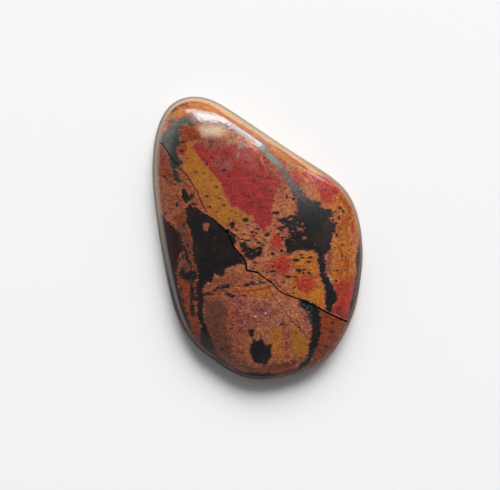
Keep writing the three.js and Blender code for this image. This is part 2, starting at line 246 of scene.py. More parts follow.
# The iron oxide, black with a metallic lustre, and the openings in it.
IRON = [
    [(-7.9, 11.35), (-7.6, 11.45), (-7.2, 11.85), (-6.8, 12), (-6.3, 12.1), (-6.35, 12.2), (-6.9, 12.15),
     (-7.4, 11.95), (-7.75, 11.6)],
    [(-8.2, 10.4), (-8.1, 10.7), (-7.8, 10.85), (-7.5, 10.75), (-7.3, 10.6), (-7.1, 10.85), (-6.7, 11),
     (-6.3, 10.95), (-5.9, 10.7), (-5.65, 10.3), (-5.8, 10.1), (-6.1, 10.15), (-6.4, 10.35), (-6.9, 10.35),
     (-7.4, 10.3), (-7.9, 10.4)],
    [(-8.1, 10.2), (-7.6, 10.25), (-7.1, 10.3), (-6.9, 10.2), (-7.1, 9.8), (-7.1, 9), (-7.05, 8.6),
     (-7.35, 8.1), (-7.3, 7.4), (-6.85, 7.05), (-6.8, 6.7), (-7.1, 6.6), (-7.35, 6.3), (-7.25, 5.8),
     (-6.9, 5.3), (-6.85, 5.05), (-7.3, 4.9), (-7.6, 5.3), (-7.7, 6), (-8, 6.8), (-8.15, 7.7), (-8.5, 8.4),
     (-8.95, 8.8), (-9.4, 8.95), (-8.8, 9.2), (-8.7, 9.7), (-8.4, 9.5), (-8.15, 9.9)],
    [(-6.95, 4.5), (-6.6, 4.5), (-6.4, 4.1), (-6.15, 3.7), (-5.9, 4.1), (-5.7, 4), (-5.95, 3.6), (-6.3, 3.3),
     (-6.5, 3.1), (-6.8, 3.5), (-6.9, 4)],
    [(-6.5, 2.7), (-6.2, 2.95), (-5.9, 2.85), (-5.5, 2.65), (-5, 2.3), (-4.4, 2), (-3.9, 1.65), (-3.45, 1.25),
     (-2.9, 0.7), (-2.5, 0.25), (-2.1, 0.2), (-1.95, -0.3), (-2.2, -0.8), (-1.9, -1.2), (-1.6, -1.4),
     (-1.3, -1.9), (-1.15, -2.4), (-1.7, -2.3), (-2, -2.5), (-2.6, -2.6), (-2.9, -2.8), (-2.9, -3.2),
     (-3.4, -3.5), (-3.9, -3.2), (-4.1, -3.9), (-4.7, -4.1), (-4.95, -4.6), (-4.85, -5.2), (-5, -6.5),
     (-4.9, -7.5), (-4.45, -8.4), (-4.2, -9.2), (-3.9, -10.1), (-3.2, -11), (-2.2, -11.9), (-2.8, -11.95),
     (-3.9, -11), (-4.7, -10.2), (-5.2, -9.6), (-5.2, -8.8), (-5.1, -8), (-5.4, -7.3), (-5.6, -6.6),
     (-5.5, -6), (-5.8, -5.6), (-5.5, -5.2), (-5.6, -4.4), (-5.4, -3.4), (-5.5, -2.6), (-5.8, -1.9),
     (-5.9, -1), (-5.9, 0), (-6.1, 0.7), (-6.4, 1.2), (-6.5, 2)],
    [(-2.7, 1.2), (-2.2, 1.5), (-2.05, 1.3), (-2.1, 0.9), (-2.4, 0.8), (-2.4, 1.1)],
    [(-2.85, 0.9), (-2.5, 0.75), (-2.2, 0.4), (-1.85, 0.2), (-2.1, 0.15), (-2.5, 0.25), (-2.8, 0.5)],
    [(-1.6, -0.4), (-1.1, -0.35), (-0.9, -0.8), (-0.3, -0.85), (0.35, -0.75), (0.45, -1.2), (0.2, -1.65),
     (-0.5, -1.95), (-1, -1.75), (-1.4, -1.3)],
    [(-6.2, -4.4), (-5.9, -4.2), (-5.7, -4.4), (-5.8, -5.6), (-5.7, -6.9), (-6, -7.2), (-6.15, -6)],
    [(-4, -4.7), (-3.6, -4.5), (-3.3, -4.3), (-2.7, -4.25), (-2.4, -4.2), (-2.6, -4.45), (-3.3, -4.5),
     (-3.9, -4.8)],
    [(-1.3, -4.4), (-0.9, -4.15), (-0.3, -4), (0.3, -3.9), (0.5, -4.05), (-0.2, -4.15), (-0.9, -4.35)],
    [(-4.9, -4.95), (-4.4, -4.95), (-4.1, -5.1), (-4.4, -5.2), (-4.9, -5.15)],
    [(-2.9, -5), (-2.4, -5.1), (-2, -5.2), (-2.2, -5.35), (-2.9, -5.2)],
    [(-7.15, -3.1), (-6.9, -2.75), (-6.6, -2.8), (-6.5, -3.1), (-6.1, -3), (-5.7, -2.9), (-5.5, -3.2),
     (-5.6, -3.9), (-6, -4.2), (-6.4, -3.9), (-6.9, -3.7)],
    [(-6.75, -0.6), (-6.6, -0.7), (-6.3, -1.7), (-6.1, -2.2), (-5.85, -2.7), (-5.95, -2.8), (-6.25, -2.4),
     (-6.5, -1.8)],
    [(3.6, 3.6), (3.55, 3), (3.7, 2.4), (3.6, 2.1), (3.1, 2.1), (2.7, 2), (2.3, 1.85), (1.85, 1.8),
     (1.7, 1.5), (2.3, 1.35), (2.5, 1.15), (1.8, 1.05), (1.7, 0.9), (2.2, 0.5), (2.9, 0.35), (2.8, 0.1),
     (2.1, 0.1), (2.4, -0.3), (2.6, -0.9), (2.5, -1.3), (2.8, -1.5), (3.2, -1.25), (3.8, -1.1), (4.4, -1.05),
     (5, -1.1), (5.4, -1.3), (5.55, -1.8), (5.35, -2), (5.6, -2.4), (5.7, -3.4), (5.8, -3.9), (6.1, -4.3),
     (6.2, -4.9), (6.15, -5.8), (6.2, -6.4), (6.7, -6.8), (6.8, -6.2), (7.3, -5.5), (7.1, -4.9), (6.8, -4.3),
     (6.5, -3.7), (6.1, -3.2), (6.2, -2.4), (6.1, -1.6), (6.4, -1.2), (6.65, -0.8), (6.7, -0.2), (6.85, 0.5),
     (7.1, 0.6), (7.1, 1.3), (6.7, 1.5), (6.5, 1.8), (6.9, 2.2), (6.8, 2.5), (6.4, 2.7), (5.9, 2.8),
     (5.5, 2.85), (5.8, 3.1), (5.75, 3.35), (4.9, 3.4), (4.5, 3.8), (4.2, 4.3), (3.7, 4.8), (3.4, 5.2),
     (2.9, 5.8), (2.6, 6.3), (2.4, 6.6), (2, 7), (1.5, 7.5), (1.1, 7.8), (0.8, 8.4), (0.4, 8.8), (-0.2, 8.9),
     (-0.1, 8.3), (0.35, 7.9), (0.75, 7.5), (1.2, 7), (1.6, 6.6), (1.95, 6.3), (2.15, 5.9), (2.5, 5.3),
     (2.8, 4.8), (3, 4.2), (3.3, 3.8)],
    [(3.85, -5.6), (4.3, -5.6), (5, -5.95), (5.5, -6.2), (5.6, -6.7), (5.8, -7.3), (5.7, -8), (5.8, -8.6),
     (5.6, -9.3), (5.4, -10), (5.1, -10.4), (5, -11), (4.6, -11.5), (4.1, -12), (3.4, -12.35), (2.4, -12.4),
     (2.3, -12.2), (3.3, -12), (3.9, -11.5), (4.4, -11), (4.6, -10.6), (4.75, -9.6), (4.9, -9), (4.95, -8.2),
     (4.65, -7.4), (4.6, -6.9), (4.2, -6.4), (3.8, -6.2)],
    [(-0.3, -9.3), (-0.05, -9.45), (0.15, -9.2), (0.3, -8.9), (0.5, -9.3), (0.6, -9.65), (0.9, -9.7),
     (1.3, -9.65), (1.2, -10.2), (1.25, -10.8), (1, -11.1), (0.9, -11.4), (0.6, -11.7), (0.3, -11.5),
     (-0.2, -11.3), (-0.5, -11), (-0.6, -10.5), (-0.7, -9.9), (-0.5, -9.5)],
    [(-0.85, -8.5), (-0.6, -8.2), (-0.3, -8.35), (-0.45, -8.75), (-0.35, -9.1), (-0.1, -9.4), (-0.4, -9.4),
     (-0.55, -8.9), (-0.8, -8.75)],
    [(9.4, 0.2), (9.15, -0.8), (8.95, -1.8), (9, -3), (8.9, -4), (8.7, -5), (8.4, -6.2), (8.25, -7.2),
     (8, -7.9), (8.4, -8), (8.9, -6.2), (9.4, -4), (9.7, -1)],
]
OPENINGS = [
    [(-5, 1.35), (-4.5, 1.4), (-4.4, 1), (-4.6, 0.7), (-4.85, 0.65)],
    [(2.3, 0.75), (2.6, 1), (2.8, 0.9), (2.7, 0.55), (2.9, 0.3), (3.15, 0.1), (2.9, 0.1), (2.4, 0.5)],
    [(3.6, 0.6), (3.7, 0.9), (4.1, 1), (4.15, 0.6), (3.9, 0.65)],
    [(4.1, 0.1), (4.4, 0.05), (4.2, -0.15)],
]

# Iron specks, as x, y, half length and half width. They lie along the bedding.
SPECKS = [
    (-0.5, 0.55, 0.22, 0.13), (0.05, 0.85, 0.18, 0.1), (0.9, 0.3, 0.25, 0.16), (0.65, -0.15, 0.16, 0.09),
    (0.1, -0.4, 0.22, 0.12), (-0.4, 0.2, 0.22, 0.08), (-0.15, -0.15, 0.15, 0.08), (-0.9, -0.2, 0.25, 0.09),
    (1.2, 0.65, 0.1, 0.07), (1.35, -1.4, 0.2, 0.14), (0.2, -1.5, 0.15, 0.1), (0.15, -0.95, 0.3, 0.08),
    (0.15, -1.2, 0.12, 0.08), (2.2, -1.15, 0.2, 0.15), (3.95, -1.5, 0.2, 0.08), (4.05, -1.8, 0.2, 0.07),
    (3.5, -2, 0.33, 0.15), (4.65, -2.15, 0.2, 0.12), (4.8, -1.75, 0.2, 0.1), (1.4, -2.55, 0.12, 0.1),
    (2.85, -2.5, 0.1, 0.08), (1.4, -3, 0.3, 0.12), (0.85, -3.1, 0.12, 0.07), (-0.3, -2.2, 0.22, 0.08),
    (3.75, -2.95, 0.3, 0.18), (4.25, -2.85, 0.2, 0.08), (4.15, -3.15, 0.12, 0.12), (4.65, -3.15, 0.18, 0.13),
    (2.8, -3.5, 0.28, 0.15), (3.4, -3.5, 0.22, 0.08), (3.3, -4.5, 0.15, 0.08), (3.8, -4.6, 0.1, 0.08),
    (3.25, -5, 0.15, 0.08), (2.4, -4, 0.12, 0.08), (7.15, -2.95, 0.22, 0.08), (7.15, -3.85, 0.15, 0.1),
    (-1.1, 1.65, 0.27, 0.2), (7.5, 2.75, 0.18, 0.14), (7.8, 2.45, 0.16, 0.12), (7.4, 1.85, 0.13, 0.2),
    (6.85, 1.65, 0.12, 0.15), (7.15, 1.35, 0.15, 0.1), (7.1, 2.4, 0.1, 0.1), (7.2, 0.25, 0.13, 0.2),
    (1.7, 2.3, 0.35, 0.15), (3.45, 2.3, 0.12, 0.12), (2.65, 3.75, 0.12, 0.18), (3.3, 3.55, 0.2, 0.14),
    (-4.2, 5.3, 0.14, 0.09), (-3.7, 4.65, 0.14, 0.1), (-4.6, 3.8, 0.22, 0.11), (-3.45, 3.6, 0.18, 0.08),
    (-3.05, 3, 0.18, 0.09), (-4.4, 2.85, 0.18, 0.08), (-4.6, 6.7, 0.12, 0.11), (-8.5, 5.6, 0.13, 0.12),
    (-7.3, 3.05, 0.14, 0.2), (-8.35, 2.25, 0.1, 0.1), (-6.7, 1.2, 0.1, 0.2), (-6.3, -0.7, 0.12, 0.16),
    (-6.15, -1.3, 0.15, 0.1), (-6.8, -2.75, 0.2, 0.1), (-5.8, 3.1, 0.3, 0.1), (-1.2, -5.2, 0.2, 0.09),
    (-1.7, -4.3, 0.12, 0.06), (-3, 6.15, 0.25, 0.12), (-6, -4.6, 0.1, 0.2), (-5.9, -6.8, 0.1, 0.2),
    (6.85, -7.7, 0.12, 0.14), (6.75, -8.5, 0.15, 0.12), (6.2, -9.8, 0.15, 0.14), (2.9, -7.55, 0.2, 0.06),
    (1.55, -7.6, 0.12, 0.09), (2.2, -7.8, 0.12, 0.13), (-6.8, 8.7, 0.3, 0.1), (-6.9, 7.9, 0.15, 0.12),
    (-7.1, 9.4, 0.15, 0.07), (3.5, -8.6, 0.09, 0.08), (3.3, -11.3, 0.12, 0.07), (3.9, -10.9, 0.12, 0.07),
    (-3.55, -4.5, 0.2, 0.09), (-3.1, -4.32, 0.2, 0.08), (-2.65, -4.3, 0.16, 0.08), (-3.95, -4.75, 0.14, 0.07),
    (-2.25, -4.35, 0.12, 0.06), (-1, -4.2, 0.22, 0.1), (-0.5, -4.05, 0.22, 0.1), (0.1, -3.95, 0.25, 0.1),
    (0.55, -4, 0.14, 0.07), (-4.6, -5.05, 0.25, 0.1), (-4.15, -5.05, 0.14, 0.08), (-2.6, -5.1, 0.25, 0.11),
    (-2.15, -5.25, 0.2, 0.08), (-7.05, -0.4, 0.14, 0.2), (-6.8, -1.7, 0.12, 0.2), (-6.95, -4.6, 0.14, 0.24),
    (-6.75, -5.7, 0.12, 0.22), (-6.4, -6.9, 0.1, 0.2), (-7.3, 0.5, 0.14, 0.12), (-1.9, 0.75, 0.14, 0.1),
    (-2.6, 1.75, 0.14, 0.08), (-0.1, 0.45, 0.12, 0.08), (0.55, 0.75, 0.12, 0.07), (-1.2, 0.35, 0.12, 0.08),
    (-0.8, 1.2, 0.14, 0.07), (0.5, -0.6, 0.14, 0.08), (1, -0.35, 0.12, 0.07), (-0.4, -2.75, 0.1, 0.06),
    (1.9, 0.35, 0.14, 0.1), (1.55, 1.15, 0.12, 0.08), (-3.8, -9.3, 0.15, 0.08), (-3.2, -10.1, 0.15, 0.1),
    (-1.4, -10.4, 0.09, 0.13), (4.1, -11.4, 0.2, 0.12),
]

# Fainter specks, deeper in the rock.
SMUDGES = [
    (-2.6, 5.6, 0.18, 0.1), (-0.35, 5.2, 0.2, 0.1), (0.1, 5.6, 0.25, 0.09), (-1.05, 6.9, 0.18, 0.12),
    (1.15, 6, 0.2, 0.12), (1, 5.5, 0.2, 0.1), (0.8, 4.45, 0.15, 0.08), (1.2, 4.3, 0.2, 0.09),
    (1.1, 3.85, 0.1, 0.08), (-0.8, 3.85, 0.1, 0.1), (-0.5, 3.25, 0.22, 0.08), (0.2, 3.45, 0.15, 0.07),
    (0.5, 2.85, 0.45, 0.08), (2.4, 3.4, 0.1, 0.06), (-4.2, 8.75, 0.3, 0.12), (-4.35, 8.25, 0.2, 0.13),
    (-4.15, 7.3, 0.2, 0.1), (-2.8, 7.7, 0.25, 0.08), (-5.6, 6, 0.2, 0.12), (-6.35, 7.25, 0.2, 0.08),
    (-3.7, 2.4, 0.15, 0.1), (-2, 2.25, 0.14, 0.08), (-1.5, 2.15, 0.1, 0.06), (-7.8, 2.65, 0.25, 0.07),
    (-8.5, 7.2, 0.12, 0.1), (-4.9, 5.9, 0.12, 0.08), (0.6, 7.3, 0.15, 0.1), (0.3, 6.6, 0.2, 0.08),
    (7.7, -1.65, 0.1, 0.1), (8.5, -1.6, 0.07, 0.07), (8.4, 1.9, 0.07, 0.1), (7, -0.85, 0.1, 0.08),
    (7.6, 0.3, 0.1, 0.1), (8.5, -0.5, 0.12, 0.18), (7.7, -0.6, 0.2, 0.12), (8, -2.9, 0.2, 0.1),
    (-1.6, -5.8, 0.15, 0.1), (5.6, 5.1, 0.12, 0.1), (6.2, 4.4, 0.1, 0.2), (7.6, 0.9, 0.15, 0.1),
    (2, -2.6, 0.15, 0.08), (-0.2, -2.5, 0.12, 0.07), (7.4, -6.4, 0.15, 0.1), (7.9, -5.1, 0.08, 0.08),
]

# Specks of hematite, painted light grey: a painted sheen.
SHEEN_PAINTED_SPECKS = [
    (-1.5, 8.35, 0.3, 0.22), (-2.5, 8.8, 0.2, 0.16), (3.05, 6.6, 0.18, 0.13), (-7.45, 9.95, 0.3, 0.2),
    (-1.8, 7.5, 0.12, 0.26), (4, 4.5, 0.1, 0.1), (6.7, -3.7, 0.15, 0.1), (0, -4, 0.16, 0.06),
]

# Pale grains of quartz at the pits. Their pale colour is partly their own and partly painted glints.
QUARTZ_AND_PAINTED_GLINTS = [
    (0.72, -6.8, 0.09, 0.08), (-0.25, -7.1, 0.12, 0.06), (0.35, -7, 0.05, 0.05), (1.5, -7.62, 0.06, 0.06),
    (4.7, -6.75, 0.07, 0.07), (4.95, -11, 0.07, 0.06), (-4.45, -4.1, 0.08, 0.05), (6.65, -3.75, 0.1, 0.08),
    (6.5, -3.35, 0.06, 0.05), (0, -4, 0.09, 0.05), (1.95, -5.75, 0.07, 0.05), (4.1, -7.1, 0.06, 0.05),
    (-6.05, -3.95, 0.06, 0.05), (-3.8, 0.1, 0.05, 0.05),
]

# Healed fractures, as the half width and depth of the open line, how faint it is and its way. The first five
# are the solid's two fractures, and the second of these is in four lengths, because its width changes.
CRACKS = [
    (0.026, 0.014, 1.3, [
        (-9.05, 8.85), (-8.6, 8.5), (-8.3, 8.05), (-8, 7.55), (-7.6, 7), (-7.15, 6.5), (-6.75, 6.05),
        (-6.35, 5.6), (-6.05, 5.15), (-5.7, 4.6), (-5.35, 3.9), (-5, 3.1), (-4.6, 2.3),
    ]),
    (0.034, 0.03, 0, [(-5.6, 2.75), (-5, 2.3), (-4.4, 1.95), (-3.9, 1.58), (-3.45, 1.2)]),
    (0.055, 0.06, 0, [
        (-3.45, 1.2), (-3.05, 0.8), (-2.65, 0.35), (-2.4, -0.2), (-2.15, -0.8), (-1.85, -1.2), (-1.45, -1.6),
        (-1.2, -1.95), (-1.05, -2.4), (-0.97, -2.88), (-0.5, -3), (0, -3.1),
    ]),
    (0.036, 0.03, 0, [
        (0, -3.1), (0.4, -3.42), (0.9, -3.8), (1.35, -4.15), (1.75, -4.6), (2.15, -4.9), (2.6, -5.12),
        (3.1, -5.28), (3.6, -5.46), (4, -5.62),
    ]),
    (0.05, 0.05, 0, [
        (4, -5.62), (4.5, -5.85), (5.2, -6.17), (5.7, -6.42), (6.3, -6.75), (7, -7.06), (7.5, -7.32),
        (8.15, -7.6),
    ]),
    (0.024, 0.008, 1.5, [
        (1, -4.3), (1.2, -4.8), (1.4, -5.2), (1.8, -5.7), (2.3, -6.4), (2.9, -7.15), (3.5, -7.9), (4.2, -8.6),
        (4.7, -9.3),
    ]),
    (0.024, 0.008, 1.5, [(0.9, -3.7), (1.5, -4.05), (2, -4.4), (2.5, -4.75), (2.8, -5.1)]),
    (0.026, 0.006, 1.45, [(-8.75, 5.7), (-8.4, 5.5), (-8.1, 5.2), (-7.7, 5), (-7.35, 4.85)]),
    (0.024, 0.006, 1.45, [(-7.4, 4), (-6.9, 3.3)]),
    (0.026, 0.008, 1.45, [(-6.7, -0.7), (-6.4, -1.6), (-6.2, -2.3), (-6, -3)]),
    (0.026, 0.008, 1.3, [(-2.8, 0.8), (-2.3, 0.45), (-1.9, 0.15), (-1.5, -0.1), (-1.1, -0.2)]),
    (0.024, 0.008, 1.5, [(5.5, -10.1), (6, -10.7)]),
    (0.024, 0.008, 1.5, [(3.5, -7.3), (3.9, -8.2)]),
]
CRACK_STEP = 0.08
CRACK_WANDER = 0.014
CRACK_REACH = 20  # half widths, beyond which a crack leaves the rock as it is
CRACK_ROWS = (-1.3, -1, -0.5, 0, 0.5, 1, 1.3)  # rows of mesh points across a crack, in half widths

# Thin red seams, inside the upper rim and in the middle.
SEAMS = [
    [(-8.82, 10.3), (-8.4, 11), (-7.7, 11.9), (-6.9, 12.3), (-6, 12.4), (-5.1, 12.3), (-4.3, 12),
     (-3.4, 11.45), (-2.4, 10.8), (-1.2, 10.1), (-0.1, 9.4), (0.8, 8.75), (2.1, 8), (3, 7.35), (3.95, 6.7),
     (4.6, 6.15)],
    [(-2.2, -4.9), (-1, -4.78), (0, -4.66), (1.1, -4.45)],
]

# How far the streaks lean from the stone's length.
STREAK_TURN = math.radians(12)

# Small pits in the polish, written as the specks are.
PIT_DEPTH = 0.12  # times the root of the way in from the edge
PITS = [
    (0.7, -6.8, 0.12, 0.1), (-0.2, -7.05, 0.14, 0.09), (1.5, -7.6, 0.1, 0.08), (4.7, -6.8, 0.12, 0.1),
    (4.95, -11, 0.14, 0.1), (-4.5, -4.1, 0.13, 0.08), (6.7, -3.8, 0.14, 0.12), (0, -4, 0.16, 0.07),
    (-4.7, 0.9, 0.14, 0.1), (-2.4, -1.7, 0.14, 0.1), (5.3, -0.5, 0.09, 0.16), (2.5, -6.1, 0.1, 0.07),
]


def spline_controls(points):
    """The control points of the closed cubic B-spline through the points."""
    passes = 40
    controls = points.copy()
    for _ in range(passes):
        controls += points - (np.roll(controls, 1, 0) + 4 * controls + np.roll(controls, -1, 0)) / 6
    return controls


CONTROLS = spline_controls(OUTLINE)


def on_outline(turn):
    """The outline's points at the turns, each from 0 to 1."""
    at = (turn % 1) * len(CONTROLS)
    first = at.astype(int)
    f = (at - first)[:, None]
    weights = ((1 - f) ** 3, 3 * f**3 - 6 * f**2 + 4, -3 * f**3 + 3 * f**2 + 3 * f + 1, f**3)
    return sum(w * CONTROLS[(first + k - 1) % len(CONTROLS)] for k, w in enumerate(weights)) / 6


def ring(turn, level):
    """The stone's contour at a level from the back up to the girdle's top."""
    step = 1e-4
    along = on_outline(turn + step) - on_outline(turn - step)
    normal = np.stack([along[:, 1], -along[:, 0]], 1) / np.hypot(*along.T)[:, None]
    if level < BEVEL_TOP:
        inset = BEVEL_INSET * (1 - level / BEVEL_TOP)
    else:
        side = np.arctan2(normal[:, 1], normal[:, 0])
        lean = GIRDLE_LEAN + LEAN_SWING * np.cos(side - LEAN_SIDE)
        inset = (lean * (level - BEVEL_TOP) / (GIRDLE_TOP - BEVEL_TOP))[:, None]
    return on_outline(turn) - normal * inset


def smooth(share):
    return share * share * (3 - 2 * share)


def rise(value, low, high):
    """0 at low and 1 at high, with a smooth rise between."""
    return smooth(np.clip((value - low) / (high - low), 0, 1))


def dome_table():
    """The girdle's top seen from the crown, as directions that rise and the way out in each."""
    directions = 4000
    out = ring(np.linspace(0, 1, directions, endpoint=False), GIRDLE_TOP) - CROWN
    angle = np.arctan2(out[:, 1], out[:, 0])
    order = np.argsort(angle)
    return angle[order], np.hypot(*out.T)[order]


EDGE_ANGLES, EDGE_WAYS = dome_table()


def dome_place(plan):
    """How far out each point is, from 0 at the crown to 1 on the girdle, and how far the girdle is there."""
    out = plan - CROWN
    angle, radius = np.arctan2(out[:, 1], out[:, 0]), np.hypot(*out.T)
    way = np.interp(angle, EDGE_ANGLES, EDGE_WAYS, period=2 * math.pi)
    turned = angle - CROWN_TURN
    ellipse = 1 / np.hypot(np.cos(turned) / CROWN_HALF_WIDTH, np.sin(turned) / CROWN_HALF_LENGTH)
    passes = 30  # each halves the stretch that the place lies in
    low, high = np.zeros(len(plan)), np.full(len(plan), 1.2)
    for _ in range(passes):
        reach = (low + high) / 2
        inside = reach * (ellipse + (way - ellipse) * smooth(np.minimum(reach, 1))) < radius
        low, high = np.where(inside, reach, low), np.where(inside, high, reach)
    return np.minimum(reach, 1), way


def dome_height(plan):
    reach, way = dome_place(plan)
    growth = (way / SHOULDER_AT) ** 2
    left = np.maximum(0, 1 - (1 - reach) * way / (SHOULDER_WIDTH * growth))
    shoulder = SHOULDER_RISE * growth
    crown = HEIGHT - GIRDLE_TOP - shoulder
    return GIRDLE_TOP + shoulder * (1 - left**SHOULDER_BEND) + crown * (1 - reach**2)


def nearest_on(points, a, b):
    """The distance from each point to the segment from a to b."""
    along = b - a
    share = np.clip((points - a) @ along / (along @ along), 0, 1)
    return np.hypot(*(points - a - share[:, None] * along).T)


def from_way(points, way):
    """The distance from each point to a way."""
    return np.min([nearest_on(points, a, b) for a, b in zip(way, way[1:])], 0)


def from_polygon(points, corners):
    """The distance from each point to the polygon's edge, negative inside."""
    x, y = points.T
    distance = np.full(len(points), np.inf)
    inside = np.zeros(len(points), bool)
    for a, b in zip(corners, np.roll(corners, -1, 0)):
        distance = np.minimum(distance, nearest_on(points, a, b))
        if a[1] != b[1]:
            crossing = a[0] + (y - a[1]) * (b[0] - a[0]) / (b[1] - a[1])
            inside ^= ((a[1] > y) != (b[1] > y)) & (x < crossing)
    return np.where(inside, -distance, distance)


def from_polygons(points, polygons):
    return np.min([from_polygon(points, np.array(p)) for p in polygons], 0)


def from_ellipses(points, ellipses):
    """About the distance to the nearest ellipse, negative inside."""
    x, y = points.T
    return np.min([(np.hypot((x - cx) / a, (y - cy) / b) - 1) * min(a, b) for cx, cy, a, b in ellipses], 0)


def smooth_way(points, step):
    """The Catmull-Rom curve through the points, as points about a step apart."""
    ends = np.concatenate([points[:1], points, points[-1:]])
    made = []
    for before, a, b, after in zip(ends, ends[1:], ends[2:], ends[3:]):
        t = np.arange(0, 1, step / np.hypot(*(b - a)))[:, None]
        out, back = (b - before) / 2, (after - a) / 2
        cubic, square = 2 * a - 2 * b + out + back, 3 * b - 3 * a - 2 * out - back
        made.append(cubic * t**3 + square * t**2 + out * t + a)
    return np.concatenate([*made, points[-1:]])


def crack_ways():
    """Each crack's half width, depth, faintness and way, which wanders a little from side to side."""
    random = np.random.default_rng(11)
    ways = []
    for width, depth, faint, points in CRACKS:
        way = smooth_way(np.array(points), CRACK_STEP)
        ways.append((width, depth, faint, way + random.normal(0, CRACK_WANDER, way.shape)))
    return ways


CRACK_WAYS = crack_ways()


def crack_share(points):
    """How far each point is from a crack's middle, in half widths, and how deep the open line is there.
    A faint crack counts as no nearer than its faintness."""
    share, deep = np.full(len(points), float(CRACK_REACH)), np.zeros(len(points))
    for width, depth, faint, way in CRACK_WAYS:
        low, high = way.min(0) - CRACK_REACH * width, way.max(0) + CRACK_REACH * width
        near = np.flatnonzero(((points > low) & (points < high)).all(1))
        if len(near):
            distance = from_way(points[near], way) / width
            share[near] = np.minimum(share[near], np.maximum(distance, faint))
            deep[near] = np.maximum(deep[near], depth * np.maximum(0, 1 - distance**2))
    return share, deep


def crack_rows():
    """Rows of mesh points along each crack: one on its middle, and three beside it on each side."""
    rows = []
    for width, _, _, way in CRACK_WAYS:
        along = np.gradient(way, axis=0)
        across = np.stack([-along[:, 1], along[:, 0]], 1) / np.hypot(*along.T)[:, None]
        rows += [way + across * width * offset for offset in CRACK_ROWS]
    return np.concatenate(rows)


def hexagon_grid(step, rim):
    """Points in even triangles inside the rim, each moved a little by chance."""
    moved, clear = 0.12, 0.6
    low, high = rim.min(0), rim.max(0)
    rows = np.arange(low[1], high[1], step * math.sqrt(3) / 2)
    columns = np.arange(low[0], high[0], step)
    x = columns[None, :] + (np.arange(len(rows)) % 2)[:, None] * step / 2
    points = np.stack([x.ravel(), np.repeat(rows, len(columns))], 1)
    points += np.random.default_rng(3).uniform(-moved, moved, points.shape) * step
    return points[from_polygon(points, rim) < -clear * step]


def fill(rim, tan_and_painted_east_shade):
    """Triangles over the inside of a rim, as points and faces. The rim's points come first."""
    points = [Vector(p) for p in np.concatenate([rim, tan_and_painted_east_shade])]
    count = len(rim)
    edges = [(i, (i + 1) % count) for i in range(count)]
    _, _, faces, origins, _, _ = delaunay_2d_cdt(points, edges, [], 1, 1e-7)
    first = [o[0] for o in origins]
    kept = np.array(sorted(set(first)))
    place = {source: i for i, source in enumerate(kept)}
    plan = np.array([tuple(points[i]) for i in kept])
    return plan, np.array([[place[first[i]] for i in face] for face in faces])


def knee(plan, inset):
    """The unevenness's height at each point."""
    along = (plan - KNEE) @ KNEE_WAY

    def beyond(start):
        return KNEE_ROUNDING * np.log1p(np.exp(np.clip((along - start) / KNEE_ROUNDING, -30, 30)))

    height = RISE_SLOPE * beyond(-RISE_LENGTH) - (RISE_SLOPE + FALL_SLOPE) * beyond(0)
    return height * np.exp(-(((inset - 1) / 4) ** 2) - (along / 12) ** 4)


def shifted(plan, inset):
    """Each point moved in. The height is taken there, so the shoulder lies farther out."""
    along = (plan - KNEE) @ KNEE_WAY
    out = np.array([-KNEE_WAY[1], KNEE_WAY[0]])
    inward = (CROWN - plan) / (np.hypot(*(CROWN - plan).T)[:, None] + 0.1)
    fade = np.exp(-((inset / SHIFT_FADE) ** 2))
    side = rise(plan @ out, 3, 5.5)
    upper_right = side * rise(along, -8, -5) * rise(along, 1.5, -1.5) * rise(inset, 0, 0.5) * fade
    left = (1 - side) * rise(plan @ np.array(FOOT_WAY), 4.5, 0.5) * rise(inset, 0, 0.22) * fade
    return plan - SHOULDER_SHIFT * upper_right[:, None] * out + EDGE_SHIFT * left[:, None] * inward


def face(rim):
    """The domed face's points and triangles, with the cracks and pits in it."""
    grid = hexagon_grid(FACE_STEP, rim)
    share, _ = crack_share(grid)
    clear_of_cracks = share > 2
    rows = crack_rows()
    rows = rows[from_polygon(rows, rim) < -0.5 * FACE_STEP]
    plan, triangles = fill(rim, np.concatenate([rows, grid[clear_of_cracks]]))
    inset = -from_polygon(plan, rim)
    _, crack = crack_share(plan)
    pit = np.maximum(0, -from_ellipses(plan, PITS)) ** 0.5 * PIT_DEPTH
    height = dome_height(shifted(plan, inset)) + rise(inset, 0, 0.7) * knee(plan, inset)
    return np.column_stack([plan, height - crack - pit]), triangles


def side(turn, first_ring, start):
    """The girdle and the bevel, ring under ring, as points, triangles and the last ring's numbers."""
    levels = [
        *np.linspace(GIRDLE_TOP, BEVEL_TOP, GIRDLE_RINGS + 1)[1:],
        *np.linspace(BEVEL_TOP, 0, BEVEL_RINGS + 1)[1:],
    ]
    points, triangles, above = [], [], first_ring
    for level in levels:
        below = start + np.arange(len(turn))
        points.append(np.column_stack([ring(turn, level), np.full(len(turn), level)]))
        next_above, next_below = np.roll(above, -1), np.roll(below, -1)
        triangles.append(np.column_stack([above, below, next_below]))
        triangles.append(np.column_stack([above, next_below, next_above]))
        above = below
        start += len(turn)
    return np.concatenate(points), np.concatenate(triangles), above


def back(rim, rim_numbers, start):
    """The flat back's inner points, and its triangles."""
    plan, triangles = fill(rim, hexagon_grid(BACK_STEP, rim))
    tan_and_painted_east_shade = plan[len(rim):]
    numbers = np.concatenate([rim_numbers, start + np.arange(len(tan_and_painted_east_shade))])
    return np.column_stack([tan_and_painted_east_shade, np.zeros(len(tan_and_painted_east_shade))]), numbers[triangles][:, ::-1]


def whole_stone():
    count = round(RIM_LENGTH / RIM_STEP)
    turn = np.arange(count) / count
    face_points, face_triangles = face(ring(turn, GIRDLE_TOP))
    side_points, side_triangles, last = side(turn, np.arange(count), len(face_points))
    start = len(face_points) + len(side_points)
    back_points, back_triangles = back(ring(turn, 0), last, start)
    return (
        np.concatenate([face_points, side_points, back_points]),
        np.concatenate([face_triangles, side_triangles, back_triangles]),
    )


